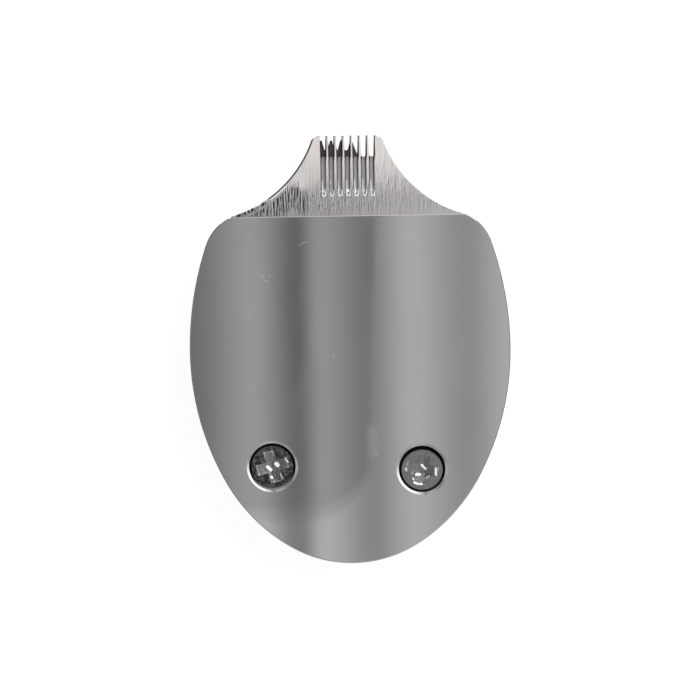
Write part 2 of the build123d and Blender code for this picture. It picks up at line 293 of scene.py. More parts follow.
gap = add(tree, "ShaderNodeMapRange", gap, interpolation_type="SMOOTHSTEP")
panel = add(tree, "ShaderNodeMath", {0: panel, 1: gap}, operation="MULTIPLY")
start = {"Value": axes["Y"], "From Min": PANEL_START, "From Max": PANEL_FULL}
start = add(tree, "ShaderNodeMapRange", start)
level = add(tree, "ShaderNodeMix", {FACTOR: start, NUMBER_A: ramp, NUMBER_B: panel})
warmth = add(tree, "ShaderNodeMath", {0: start, 1: side}, operation="SUBTRACT", use_clamp=True)
tint = {FACTOR: warmth, COLOUR_A: PANEL_WHITE, COLOUR_B: PANEL_WARM}
tint = add(tree, "ShaderNodeMix", tint, data_type="RGBA")
lamp = add(tree, "ShaderNodeEmission", {"Color": tint, "Strength": level})
add(tree, "ShaderNodeOutputMaterial", {"Surface": lamp})
wear(card, strips)
print("The card hangs at", round(CARD_HEIGHT, 3), "m")

# %% [markdown]
# A grey scrim under part of the card darkens the upper left of the shield, and its round corner
# shows low on it. A scrim lets light through, so it is a clear material with a grey colour. It has
# two layers of gauze, one longer than the other, so its lower edge is soft.

# %% Scrim
GAUZE_PASS = 0.83
SCRIM_HEIGHT, GAUZE_GAP = CARD_HEIGHT - 8 * MM, 1 * MM
# The outline as it shows on the shield, in mm, with a low edge for each layer.
SCRIM_RIGHT, SCRIM_RIGHT_TOP, SCRIM_LEFT = 1.9, 4.4, -40.0
SCRIM_LOWS, SCRIM_HIGH, SCRIM_CORNER = (-15.9, -17.0), 58.0, 6.5
CORNER_ANGLES = range(-90, 1, 6)

gauze, tree = new_material("grey_gauze")
veil = add(tree, "ShaderNodeBsdfTransparent", {"Color": (GAUZE_PASS, GAUZE_PASS, GAUZE_PASS, 1)})
add(tree, "ShaderNodeOutputMaterial", {"Surface": veil})
turns = [math.radians(angle) for angle in CORNER_ANGLES]
for layer, low in enumerate(SCRIM_LOWS):
    height = SCRIM_HEIGHT + layer * GAUZE_GAP
    corner = Vector((SCRIM_RIGHT - SCRIM_CORNER, low + SCRIM_CORNER))
    rounded = [corner + SCRIM_CORNER * Vector((math.cos(a), math.sin(a))) for a in turns]
    outline = [(SCRIM_LEFT, low), *rounded, (SCRIM_RIGHT_TOP, SCRIM_HIGH), (SCRIM_LEFT, SCRIM_HIGH)]
    grow = MM * (1 + (height - cad_high.z) / CAMERA_DISTANCE)
    points = [(x * grow, y * grow, height) for x, y in outline]
    scrim = stage_mesh("scrim", points, [range(len(points))])
    only_in_reflections(scrim)
    wear(scrim, gauze)

# %% [markdown]
# A dome closes the room. Its grey cloth hangs in soft folds, so that the flat shield shows a
# shading from any side. One side is bright, for the chamfers round the screw holes, and there are
# four low lamps. Sloping faces, such as the ends of the slots and the walls of the screw recesses,
# mirror what stands low, so these lamps draw the bright lines and glints there.

# %% Dome and low lamps
DOME_RADIUS = 0.8
DOME_SIDES, DOME_RINGS = 48, 16
DOME_BRIGHT = 1.8
DOME_FOLDS, FOLD_DARK, FOLD_PALE = (3.2, 3.2, 1.2), 0.3, 0.7
FOLD_LOW, FOLD_HIGH = 0.36, 0.66
BRIGHT_WAY = Vector((0.64, 0.54, 0.54)).normalized()
BRIGHT_EDGE, BRIGHT_FULL = 0.70, 0.93
BRIGHT_TOP, BRIGHT_FADE = math.radians(43), math.radians(38)
# Where each low lamp stands round the dome, and half its width, in degrees.
LOW_LAMPS = [(-15, 6), (74, 7), (114, 6), (170, 12)]
LOW_FROM, LOW_TO, LOW_BRIGHT = math.radians(12), math.radians(24), 8.0

points = []
for ring in range(DOME_RINGS + 1):
    height = math.pi / 2 * ring / (DOME_RINGS + 1)
    for step in range(DOME_SIDES):
        turn = 2 * math.pi * step / DOME_SIDES
        x, y = math.cos(turn) * math.cos(height), math.sin(turn) * math.cos(height)
        points.append(DOME_RADIUS * Vector((x, y, math.sin(height))))
faces = [range(DOME_RINGS * DOME_SIDES, (DOME_RINGS + 1) * DOME_SIDES)]
for ring in range(DOME_RINGS):
    for step in range(DOME_SIDES):
        here = ring * DOME_SIDES + step
        there = ring * DOME_SIDES + (step + 1) % DOME_SIDES
        faces.append((here, there, there + DOME_SIDES, here + DOME_SIDES))
dome = stage_mesh("dome", points, faces)
only_in_reflections(dome)
cloth, tree = new_material("dome_cloth")
place = add(tree, "ShaderNodeTexCoord").outputs["Object"]
way = add(tree, "ShaderNodeVectorMath", {0: place}, operation="NORMALIZE")
toward = add(tree, "ShaderNodeVectorMath", {0: way, 1: BRIGHT_WAY}, operation="DOT_PRODUCT")
rise = add(tree, "ShaderNodeSeparateXYZ", {0: way}).outputs["Z"]
folds = add(tree, "ShaderNodeMapping", {"Vector": way, "Scale": DOME_FOLDS})
folds = add(tree, "ShaderNodeTexNoise", {"Vector": folds, "Scale": 1.0, "Detail": 0.0})
grey = {"Value": folds, "From Min": FOLD_DARK, "From Max": FOLD_PALE}
grey = add(tree, "ShaderNodeMapRange", {**grey, "To Min": FOLD_LOW, "To Max": FOLD_HIGH})
level = {"Value": toward, "From Min": BRIGHT_EDGE, "From Max": BRIGHT_FULL}
level = add(tree, "ShaderNodeMapRange", {**level, "To Min": grey, "To Max": DOME_BRIGHT})
low = {"Value": rise, "From Min": math.sin(BRIGHT_TOP), "From Max": math.sin(BRIGHT_FADE)}
low = add(tree, "ShaderNodeMapRange", low)
level = add(tree, "ShaderNodeMix", {FACTOR: low, NUMBER_A: grey, NUMBER_B: level})
over = add(tree, "ShaderNodeMath", {0: rise, 1: math.sin(LOW_FROM)}, operation="GREATER_THAN")
under = add(tree, "ShaderNodeMath", {0: rise, 1: math.sin(LOW_TO)}, operation="LESS_THAN")
belt = add(tree, "ShaderNodeMath", {0: over, 1: under}, operation="MULTIPLY")
flat = add(tree, "ShaderNodeVectorMath", {0: place, 1: (1, 1, 0)}, operation="MULTIPLY")
flat = add(tree, "ShaderNodeVectorMath", {0: flat}, operation="NORMALIZE")
for middle, half in LOW_LAMPS:
    facing = (math.cos(math.radians(middle)), math.sin(math.radians(middle)), 0)
    near = add(tree, "ShaderNodeVectorMath", {0: flat, 1: facing}, operation="DOT_PRODUCT")
    limit = math.cos(math.radians(half))
    inside = add(tree, "ShaderNodeMath", {0: near, 1: limit}, operation="GREATER_THAN")
    inside = add(tree, "ShaderNodeMath", {0: inside, 1: belt}, operation="MULTIPLY")
    level = add(tree, "ShaderNodeMix", {FACTOR: inside, NUMBER_A: level, NUMBER_B: LOW_BRIGHT})
lamp = add(tree, "ShaderNodeEmission", {"Strength": level})
add(tree, "ShaderNodeOutputMaterial", {"Surface": lamp})
wear(dome, cloth)

# %% [markdown]
# One large soft lamp lights what isn't metal and casts the faint shadow. The metal doesn't show
# it, because the card and the dome already give the metal all that it mirrors.

# %% Key lamp
KEY_PLACE = Vector((0.28, 0.22, 0.62))
KEY_SIZE, KEY_WATTS = 0.5, 5.0

key_data = bpy.data.lights.new("key", "AREA")
key_data.shape = "DISK"
key_data.size = KEY_SIZE
key_data.energy = KEY_WATTS
key = bpy.data.objects.new("key", key_data)
key.location = KEY_PLACE
key.rotation_euler = (-KEY_PLACE).to_track_quat("-Z", "Y").to_euler()
key.visible_glossy = False
scene.collection.objects.link(key)
print("Key lamp", KEY_WATTS, "W")

# %% [markdown]
# The shield is polished stainless steel. Metal is metallic 1 with a light grey colour, and the
# polish is a low roughness that changes a little in wide smudges, as wiped steel does. Patterns
# read Object coordinates, which one helper turns into millimetres, so each can be given its real
# size. The tip was ground lengthwise on a wheel. There the roughness is higher, and the scores are
# noise that is stretched along Y, used as bump. On the left they are deep, and end short of the
# edge and at a line that falls from there to the slots. On the right they are shallow and run on.

# %% Steel: polish and grinding scores
BEVEL_START = 13.2
BEVEL_BLEND, SCORE_RISE = 0.15, 1.2
POLISH_FINE, POLISH_DULL, GROUND = 0.025, 0.06, 0.15
SMUDGES, SMUDGE_NONE, SMUDGE_FULL = (0.25, 0.12, 0.25), 0.35, 0.75
COARSE_SCORES, FINE_SCORES, FINE_SHARE = (5.0, 0.4, 0.4), (12.0, 1.0, 1.0), 0.5
NOISE_MIDDLE, SCORE_MIDDLE, SCORE_DEPTH = 0.5, 0.75, 0.048 * MM
FLARE_CENTRE, FLARE_RADIUS, EDGE_CLEAR = (-15.0, 25.0, 0), 12.1, 0.34
LINE_LEVEL, LINE_START, LINE_LEAN = 15.7, 12.5, -0.73
CALM_BAND, CALM_LEVEL, LINE_RAGGED = 0.3, 0.2, 3.0
LEFT_X, RIGHT_X, RIGHT_LEVEL = -1.0, 4.0, 0.4


def millimetres(tree, scale=(1, 1, 1)):
    place = add(tree, "ShaderNodeTexCoord").outputs["Object"]
    return add(tree, "ShaderNodeMapping", {"Vector": place, "Scale": [s / MM for s in scale]})


steel, tree = new_material("polished_stainless_steel")
where = millimetres(tree)
flat = add(tree, "ShaderNodeVectorMath", {0: where, 1: (1, 1, 0)}, operation="MULTIPLY")
axes = add(tree, "ShaderNodeSeparateXYZ", {0: where}).outputs
coarse = {"Vector": millimetres(tree, COARSE_SCORES), "Scale": 1.0, "Detail": 3.0, "Roughness": 0.6}
coarse = add(tree, "ShaderNodeTexNoise", coarse)
fine = {"Vector": millimetres(tree, FINE_SCORES), "Scale": 1.0, "Detail": 2.0}
fine = add(tree, "ShaderNodeTexNoise", fine)
depth = {0: fine, 1: FINE_SHARE, 2: coarse}
depth = add(tree, "ShaderNodeMath", depth, operation="MULTIPLY_ADD")
depth = add(tree, "ShaderNodeMath", {0: depth, 1: SCORE_MIDDLE}, operation="SUBTRACT")

# How far a point lies inside the left edge, and inside the field of deep scores.
edge = add(tree, "ShaderNodeVectorMath", {0: flat, 1: FLARE_CENTRE}, operation="DISTANCE")
edge = add(tree, "ShaderNodeMath", {0: edge, 1: FLARE_RADIUS}, operation="SUBTRACT")
inland = add(tree, "ShaderNodeMath", {0: edge, 1: EDGE_CLEAR}, operation="SUBTRACT")
line = {0: axes["X"], 1: LINE_LEAN, 2: LINE_START}
line = add(tree, "ShaderNodeMath", line, operation="MULTIPLY_ADD")
line = add(tree, "ShaderNodeMath", {0: line, 1: LINE_LEVEL}, operation="MAXIMUM")
inside = add(tree, "ShaderNodeMath", {0: line, 1: axes["Y"]}, operation="SUBTRACT")
ragged = add(tree, "ShaderNodeMath", {0: coarse, 1: NOISE_MIDDLE}, operation="SUBTRACT")
inside = {0: ragged, 1: LINE_RAGGED, 2: inside}
inside = add(tree, "ShaderNodeMath", inside, operation="MULTIPLY_ADD")
inside = add(tree, "ShaderNodeMath", {0: inside, 1: inland}, operation="MINIMUM")

left = {"Value": inside, "From Min": -CALM_BAND, "From Max": CALM_BAND, "To Min": CALM_LEVEL}
left = add(tree, "ShaderNodeMapRange", left)
rightward = {"Value": axes["X"], "From Min": LEFT_X, "From Max": RIGHT_X}
rightward = add(tree, "ShaderNodeMapRange", rightward)
strong = add(tree, "ShaderNodeMix", {FACTOR: rightward, NUMBER_A: left, NUMBER_B: RIGHT_LEVEL})
rising = {"Value": axes["Y"], "From Min": BEVEL_START, "From Max": BEVEL_START + SCORE_RISE}
rising = add(tree, "ShaderNodeMapRange", rising)
for share in (strong, rising):
    depth = add(tree, "ShaderNodeMath", {0: depth, 1: share}, operation="MULTIPLY")
bump = add(tree, "ShaderNodeBump", {"Height": depth, "Strength": 1.0, "Distance": SCORE_DEPTH})

smudge = {"Vector": millimetres(tree, SMUDGES), "Scale": 1.0, "Detail": 4.0}
smudge = add(tree, "ShaderNodeTexNoise", smudge)
smudge = {"Value": smudge, "From Min": SMUDGE_NONE, "From Max": SMUDGE_FULL}
polish = add(tree, "ShaderNodeMapRange", {**smudge, "To Min": POLISH_FINE, "To Max": POLISH_DULL})
on_bevel = {"Value": axes["Y"], "From Min": BEVEL_START, "From Max": BEVEL_START + BEVEL_BLEND}
on_bevel = add(tree, "ShaderNodeMapRange", on_bevel)
rough = add(tree, "ShaderNodeMix", {FACTOR: on_bevel, NUMBER_A: polish, NUMBER_B: GROUND})
print("Scores", SCORE_DEPTH / MM, "mm deep on the bevel")

# %% [markdown]
# Use has left a few scratches on the shield, and a wiped smear. Each is a short straight stroke,
# so a node group measures how far a point is from a stroke, and a function adds one for every mark
# in a list. A scratch throws up a matt burr and the smear is dry residue, so both are paler than
# the steel.

# %% Steel: scratches and smear
# Both ends in mm, half the width in mm, and how strong the mark is.
SCRATCHES = [
    (-4.96, 10.33, -4.52, 10.63, 0.08, 0.13),
    (-4.52, 10.63, -4.02, 10.79, 0.08, 0.15),
    (-10.52, 4.23, -9.92, 3.33, 0.08, 0.24),
    (-10.16, 4.33, -9.76, 3.23, 0.08, 0.18),
    (-8.86, 7.47, -8.52, 7.23, 0.09, 0.3),
    (-8.52, 7.0, -8.02, 6.83, 0.09, 0.26),
    (-8.02, 7.33, -7.82, 7.53, 0.09, 0.2),
    (-10.22, -4.08, -9.32, -2.94, 0.08, 0.26),
    (-1.7, -0.75, -1.65, -0.6, 0.08, 0.3),
    (-12.8, -6.4, -12.75, -6.3, 0.08, 0.2),
]
SMEARS = [
    (2.05, -8.2, 2.1, -10.4, 0.85, 0.06),
    (2.3, -10.3, 2.4, -10.6, 0.4, 0.09),
]


def stroke_group():
    tree = bpy.data.node_groups.new("stroke", "ShaderNodeTree")
    sockets(tree, "INPUT", "Vector", "Point", "Start", "End")
    sockets(tree, "INPUT", "Float", "Width", "Strength")
    sockets(tree, "OUTPUT", "Float", "Mark")
    given = add(tree, "NodeGroupInput").outputs
    run = {0: given["Point"], 1: given["Start"]}
    run = add(tree, "ShaderNodeVectorMath", run, operation="SUBTRACT")
    line = {0: given["End"], 1: given["Start"]}
    line = add(tree, "ShaderNodeVectorMath", line, operation="SUBTRACT")
    share = add(tree, "ShaderNodeVectorMath", {0: run, 1: line}, operation="DOT_PRODUCT")
    whole = add(tree, "ShaderNodeVectorMath", {0: line, 1: line}, operation="DOT_PRODUCT")
    along = add(tree, "ShaderNodeMath", {0: share, 1: whole}, operation="DIVIDE", use_clamp=True)
    foot = add(tree, "ShaderNodeVectorMath", {0: line, "Scale": along}, operation="SCALE")
    away = add(tree, "ShaderNodeVectorMath", {0: run, 1: foot}, operation="DISTANCE")
    mark = {"Value": away, "From Max": given["Width"], "To Min": given["Strength"], "To Max": 0.0}
    add(tree, "NodeGroupOutput", {0: add(tree, "ShaderNodeMapRange", mark)})
    return tree


stroke = stroke_group()


def with_strokes(tree, mask, point, middle, marks):
    for x0, y0, x1, y1, width, strength in marks:
        start, end = middle + Vector((x0, y0, 0)), middle + Vector((x1, y1, 0))
        mark = {"Point": point, "Start": start, "End": end, "Width": width, "Strength": strength}
        mark = add(tree, "ShaderNodeGroup", mark, node_tree=stroke)
        mask = largest(tree, mask, mark)
    return mask


pale = with_strokes(tree, 0.0, flat, Vector((0, 0, 0)), SCRATCHES + SMEARS)
print(len(SCRATCHES), "scratches and", len(SMEARS), "smears")

# %% [markdown]
# Grinding has left dark places, and shade is painted on as well. The left flare's edge gets a band
# of painted shade, and low down dark blots sit along it. The deepest scores on the left hold soot,
# most of it where they end. Each place is a mask between 0 and 1. Noise or a wave gives the
# pattern, and limits keep it where it belongs.

# %% Steel: painted shade on the flare's edge, blots and soot
# A pair of limits is where a mask is 0 and where it is 1, in mm or as a level of the noise.
FACE_EDGE, FLARE_SHADE_BAND, FLARE_SHADE_LOW = (0.0, 0.02), (0.20, 0.13), (14.8, 15.2)
BLOT_SIZE, BLOT_NOISE = (4.0, 1.6, 1.6), (0.44, 0.49)
BLOT_EDGE, BLOT_TOP = (0.6, 0.3), (15.1, 14.6)
SOOT_PITCH, SOOT_STRETCH, SOOT_WANDER = 0.31, (1.0, 0.25, 0.25), 5.0
SOOT_WAVE, SOOT_GAPS, SOOT_NOISE = (0.52, 0.3), (3.0, 0.5, 0.5), (0.3, 0.44)
SOOT_START, SOOT_RIGHT = (0.0, 0.3), (-3.0, -4.4)
SOOT_DEEP, SOOT_LAST, SOOT_REST = 1.4, 3.0, 0.5

on_face = (edge, *FACE_EDGE)
# The left flare's edge gets a band of painted shade.
flare_shade = within(tree, 1.0, on_face, (edge, *FLARE_SHADE_BAND), (axes["Y"], *FLARE_SHADE_LOW))

blot = {"Vector": millimetres(tree, BLOT_SIZE), "Scale": 1.0, "Detail": 1.0}
blot = add(tree, "ShaderNodeTexNoise", blot)
blot = ((blot, *BLOT_NOISE), (edge, *BLOT_EDGE), (axes["Y"], *BLOT_TOP))
blot = within(tree, 1.0, on_face, *blot)

streaks = {"Vector": millimetres(tree, SOOT_STRETCH), "Scale": math.pi / (10 * SOOT_PITCH)}
streaks = {**streaks, "Distortion": SOOT_WANDER, "Detail": 1.0, "Detail Scale": 1.5}
streaks = add(tree, "ShaderNodeTexWave", streaks, bands_direction="X")
gaps = {"Vector": millimetres(tree, SOOT_GAPS), "Scale": 1.0, "Detail": 1.0}
gaps = add(tree, "ShaderNodeTexNoise", gaps)
soot = ((streaks, *SOOT_WAVE), (gaps, *SOOT_NOISE), (inside, *SOOT_START))
soot = within(tree, 1.0, *soot, (axes["X"], *SOOT_RIGHT))
fading = {"Value": inside, "From Min": SOOT_DEEP, "From Max": SOOT_LAST}
fading = add(tree, "ShaderNodeMapRange", {**fading, "To Min": 1.0, "To Max": SOOT_REST})
soot = add(tree, "ShaderNodeMath", {0: soot, 1: fading}, operation="MULTIPLY")
print("Soot in lines about", SOOT_PITCH, "mm apart")

# %% [markdown]
# The slots get painted shade, above all on their walls. They stand at one pitch, so X is wrapped
# at it and a single ramp across a slot serves all seven. At the tips the painted shade is stronger
# and lies a little further right. The largest of the masks so far is the dark on the bevel: soot
# and blots, and painted shade.

# %% Steel: painted shade in the slots
SLOT_PITCH, SLOT_FIELD, SLOT_END = 0.81, (2.85, 2.84), (15.7, 16.0)
TOOTH_START, TOOTH_FULL, TOOTH_SHIFT, TOOTH_SHADE = 18.7, 19.4, 0.06, 0.6
# How much painted shade a slot gets, by the distance in mm from its middle.
SLOT_SHADE = [
    (-0.29, 0.0),
    (-0.26, 0.68),
    (-0.18, 0.68),
    (-0.15, 0.25),
    (0.15, 0.25),
    (0.18, 0.62),
    (0.30, 0.62),
    (0.33, 0.0),
]

off_slot = {0: axes["X"], 1: SLOT_PITCH / 2, 2: -SLOT_PITCH / 2}
off_slot = add(tree, "ShaderNodeMath", off_slot, operation="WRAP")
on_tooth = {"Value": axes["Y"], "From Min": TOOTH_START, "From Max": TOOTH_FULL}
on_tooth = add(tree, "ShaderNodeMapRange", on_tooth)
from_wall = {0: on_tooth, 1: -TOOTH_SHIFT, 2: off_slot}
from_wall = add(tree, "ShaderNodeMath", from_wall, operation="MULTIPLY_ADD")
across = {"Value": from_wall, "From Min": -SLOT_PITCH / 2, "From Max": SLOT_PITCH / 2}
across = add(tree, "ShaderNodeMapRange", across)
# A ramp of painted shade across each slot.
slot_shade = add(tree, "ShaderNodeValToRGB", {0: across})
set_stops(slot_shade, SLOT_SHADE, SLOT_PITCH / 2)
from_middle = add(tree, "ShaderNodeMath", {0: axes["X"]}, operation="ABSOLUTE")
in_field = (from_middle, *SLOT_FIELD)
deeper_shade = add(tree, "ShaderNodeMapRange", {"Value": on_tooth, "To Min": 1.0, "To Max": 1 + TOOTH_SHADE})
slot_shade = add(tree, "ShaderNodeMath", {0: slot_shade, 1: deeper_shade}, operation="MULTIPLY", use_clamp=True)
slot_shade = within(tree, slot_shade, in_field, (axes["Y"], *SLOT_END))

dark = largest(tree, flare_shade, blot, soot, slot_shade)
dark = add(tree, "ShaderNodeMath", {0: dark, 1: on_bevel}, operation="MULTIPLY")
print("Painted shade in slots", SLOT_PITCH, "mm apart")

# %% [markdown]
# Shade is painted into the gaps round the screws too, and the CAD screws tell where those are. The
# shield's round rim gets painted shade, but not at the bottom. The largest mask of all is the share
# of dull dark on the steel: dirt, and painted shade. One more mask finds the side wall, for the
# finish in the next step.

# %% Steel: screw holes, rim and side wall
# A hole gets painted shade inside its chamfer. Below its middle it thins out to a share of its own.
HOLE_ROUND, HOLE_EDGE = (2.46, 2.45), (10.57, 10.47)
HOLE_LOW, HOLE_FULL, HOLE_SHARES = 2.0, 0.5, (0.1, 0.9)
# The round rim lies this far below the face, and the blanked side wall under it. Both stay clear
# of the holes. The rim ends before the ridge and fades at the bottom, the wall ends on the shoulder.
RIM_TOP, RIM_FOOT, SHIELD_RIM_SHADE = (0.003, 0.012), (0.16, 0.13), 0.85
OFF_HOLE, RIM_RIDGE, RIM_BOTTOM = (2.8, 2.9), (12.7, 12.5), (-16.0, -13.0)
WALL_END = (13.6, 13.45)

screw_corners = [v.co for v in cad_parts["blade_screws"].data.vertices]
screw_top = max(c.z for c in screw_corners)
screw_places = []
for side in (-1, 1):
    own = [c for c in screw_corners if c.x * side > 0]
    middle = [(min(c[axis] for c in own) + max(c[axis] for c in own)) / 2 for axis in (0, 1)]
    screw_places.append(Vector((*middle, screw_top)))

under_face = add(tree, "ShaderNodeMath", {0: cad_high.z / MM, 1: axes["Z"]}, operation="SUBTRACT")
# Painted shade on the shield's round rim.
rim = ((under_face, *RIM_TOP), (under_face, *RIM_FOOT), (axes["Y"], *RIM_RIDGE))
rim = within(tree, SHIELD_RIM_SHADE, *rim, (axes["Y"], *RIM_BOTTOM))
wall = within(tree, 1.0, (under_face, *reversed(RIM_FOOT)), (axes["Y"], *WALL_END))
for place, low_share in zip(screw_places, HOLE_SHARES):
    x, y = place.x / MM, place.y / MM
    near = add(tree, "ShaderNodeVectorMath", {0: flat, 1: (x, y, 0)}, operation="DISTANCE")
    rim = within(tree, rim, (near, *OFF_HOLE))
    wall = within(tree, wall, (near, *OFF_HOLE))
    # Painted shade in the gap round the screw head, inside the hole's chamfer.
    hole = within(tree, 1.0, (near, *HOLE_ROUND), (axes["Z"], *HOLE_EDGE))
    share = {"Value": axes["Y"], "From Min": y - HOLE_LOW, "From Max": y - HOLE_FULL}
    share = add(tree, "ShaderNodeMapRange", {**share, "To Min": low_share})
    hole = add(tree, "ShaderNodeMath", {0: hole, 1: share}, operation="MULTIPLY")
    dark = largest(tree, dark, hole)
dark = largest(tree, dark, rim)
print("Screw holes at", [[round(c / MM, 2) for c in place] for place in screw_places], "mm")

# %% [markdown]
# Where the wheel left each slot, a bright hook with one long and one short arm is a painted
# highlight of the light on the slot's end. A hook is a half circle with straight arms, so its mask
# is the distance from that line. The same distance, wrapped at the slot pitch, draws all seven.
# Beside the painted shade on the edge runs a pale margin, and the steel above the ends of the scores
# is faintly frosted. All these and the scratches are pale and matt, the dirt and painted shade are
# dark and matt, and what neither covers is bare metal. The side wall was blanked in a press and not
# polished, so it is rougher. A matt cover has no gloss of its own, so the specular level is 0, which
# the metal doesn't use.

# %% Steel: painted highlights at the slot ends, and the finished material
HOOK_X, HOOK_Y, HOOK_ROUND = 0.07, 15.45, 0.16
HOOK_LINE, HOOK_FADE, HOOK_NOISE = (0.06, 0.02), (0.0, -0.5), (0.34, 0.46)
HOOK_LONG, HOOK_SHORT = 1.7, 0.6
MARGIN_PALE, MARGIN_EDGE = 0.6, (0.40, 0.26)
MARGIN_TOP, MARGIN_LOW = (17.0, 16.2), (14.5, 15.2)
FROST_PALE, FROST_LINE, FROST_RIGHT = 0.28, (0.2, -0.4), (-3.0, -4.4)
FROST_TOP, FROST_LOW = (19.4, 17.4), (15.6, 16.3)
BLANKED, MATT = 0.42, 0.5
STEEL, STEEL_PALE, STEEL_DARK = linear("#c4c4c3"), linear("#e4e4e2"), linear("#2b2826")

# Painted highlights: a bright hook where each slot ends.
past_end = add(tree, "ShaderNodeMath", {0: axes["Y"], 1: HOOK_Y}, operation="SUBTRACT")
past_end = add(tree, "ShaderNodeMath", {0: past_end, 1: 0.0}, operation="MINIMUM")
off_hook = add(tree, "ShaderNodeMath", {0: off_slot, 1: HOOK_X}, operation="SUBTRACT")
hook = add(tree, "ShaderNodeCombineXYZ", {"X": off_hook, "Y": past_end})
hook = add(tree, "ShaderNodeVectorMath", {0: hook}, operation="LENGTH")
hook = add(tree, "ShaderNodeMath", {0: hook, 1: HOOK_ROUND}, operation="SUBTRACT")
hook = add(tree, "ShaderNodeMath", {0: hook}, operation="ABSOLUTE")
right_arm = add(tree, "ShaderNodeMath", {0: off_hook, 1: 0.0}, operation="GREATER_THAN")
arm = {FACTOR: right_arm, NUMBER_A: HOOK_Y + HOOK_LONG, NUMBER_B: HOOK_Y + HOOK_SHORT}
arm = add(tree, "ShaderNodeMix", arm)
over = add(tree, "ShaderNodeMath", {0: axes["Y"], 1: arm}, operation="SUBTRACT")
hook_highlight = ((hook, *HOOK_LINE), (over, *HOOK_FADE), in_field, (coarse, *HOOK_NOISE))
hook_highlight = within(tree, 1.0, *hook_highlight)

margin = ((edge, *reversed(FLARE_SHADE_BAND)), (edge, *MARGIN_EDGE), (axes["Y"], *MARGIN_TOP))
margin = within(tree, MARGIN_PALE, *margin, (axes["Y"], *MARGIN_LOW))

frost = ((inside, *FROST_LINE), (axes["X"], *FROST_RIGHT), (axes["Y"], *FROST_TOP))
frost = within(tree, FROST_PALE, *frost, (axes["Y"], *FROST_LOW))

pale = largest(tree, pale, hook_highlight, margin, frost)
dark = add(tree, "ShaderNodeMath", {0: dark, 1: hook_highlight}, operation="SUBTRACT", use_clamp=True)
covered = largest(tree, pale, dark)
bare = add(tree, "ShaderNodeMath", {0: 1.0, 1: covered}, operation="SUBTRACT")
for share, finish in ((wall, BLANKED), (covered, MATT)):
    rough = add(tree, "ShaderNodeMix", {FACTOR: share, NUMBER_A: rough, NUMBER_B: finish})
colour = STEEL
for share, paint in ((pale, STEEL_PALE), (dark, STEEL_DARK)):
    colour = {FACTOR: share, COLOUR_A: colour, COLOUR_B: paint}
    colour = add(tree, "ShaderNodeMix", colour, data_type="RGBA")
metal = {"Base Color": colour, "Metallic": bare, "Roughness": rough, "Normal": bump}
metal = add(tree, "ShaderNodeBsdfPrincipled", {**metal, "Specular IOR Level": 0.0})
add(tree, "ShaderNodeOutputMaterial", {"Surface": metal})
wear(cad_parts["fixed_blade"], steel)

# %% [markdown]
# The cutter is hardened tool steel, ground flat and left dark with oil. Only its teeth show through
# the slots from the front. The oil film is uneven, so wide noise moves both the colour and the
# roughness, and fine grinding lines run across it. The three materials after it are built in the
# same way, so one function finishes all four. It mixes two colours and two roughnesses by a share,
# and a bump, given by its strength and depth, makes the relief.

# %% Dark cutter
OIL_COLOURS, OIL_ROUGHS = (linear("#655f5b"), linear("#4c4744")), (0.36, 0.24)
OIL_PATCHES, OIL_NOISE = (0.5, 0.5, 0.5), (0.3, 0.7)
CROSS_LINES, CROSS_RELIEF = (0.8, 9.0, 9.0), (0.6, 0.01 * MM)


def surface(tree, share, colours, roughs, height, relief, metallic):
    colour = {FACTOR: share, COLOUR_A: colours[0], COLOUR_B: colours[1]}
    colour = add(tree, "ShaderNodeMix", colour, data_type="RGBA")
    rough = {"Value": share, "To Min": roughs[0], "To Max": roughs[1]}
    rough = add(tree, "ShaderNodeMapRange", rough)
    bump = {"Height": height, "Strength": relief[0], "Distance": relief[1]}
    bump = add(tree, "ShaderNodeBump", bump)
    skin = {"Base Color": colour, "Metallic": metallic, "Roughness": rough, "Normal": bump}
    skin = add(tree, "ShaderNodeBsdfPrincipled", skin)
    add(tree, "ShaderNodeOutputMaterial", {"Surface": skin})


dark_steel, tree = new_material("oiled_tool_steel")
oil = {"Vector": millimetres(tree, OIL_PATCHES), "Scale": 1.0, "Detail": 3.0}
oil = add(tree, "ShaderNodeTexNoise", oil)
film = within(tree, 1.0, (oil, *OIL_NOISE))
lines = {"Vector": millimetres(tree, CROSS_LINES), "Scale": 1.0, "Detail": 2.0}
lines = add(tree, "ShaderNodeTexNoise", lines)
surface(tree, film, OIL_COLOURS, OIL_ROUGHS, lines, CROSS_RELIEF, metallic=1.0)
wear(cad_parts["moving_cutter"], dark_steel)

# %% [markdown]
# The spring is hard-drawn steel wire. Drawing through a die leaves a bright skin with faint lines
# along the wire. Its two arms run along Y, so lines along Y suit most of its length.

# %% Spring wire
WIRE_COLOURS, WIRE_ROUGHS = (linear("#a8a69f"), linear("#84827a")), (0.2, 0.32)
DIE_LINES, DIE_NOISE, DIE_RELIEF = (9.0, 0.5, 9.0), (0.35, 0.65), (0.5, 0.01 * MM)

wire, tree = new_material("hard_drawn_wire")
lines = {"Vector": millimetres(tree, DIE_LINES), "Scale": 1.0, "Detail": 3.0}
lines = add(tree, "ShaderNodeTexNoise", lines)
dull = within(tree, 1.0, (lines, *DIE_NOISE))
surface(tree, dull, WIRE_COLOURS, WIRE_ROUGHS, lines, DIE_RELIEF, metallic=1.0)
wear(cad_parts["pressure_spring"], wire)

# %% [markdown]
# The base is moulded ABS. Its mould was spark-eroded, which prints an even, pebbly grain on the
# plastic. The real grain is about 0.05 mm, too fine to show, so it is drawn at a quarter of a
# millimetre. Where the grain stands up it is rubbed a little smoother.

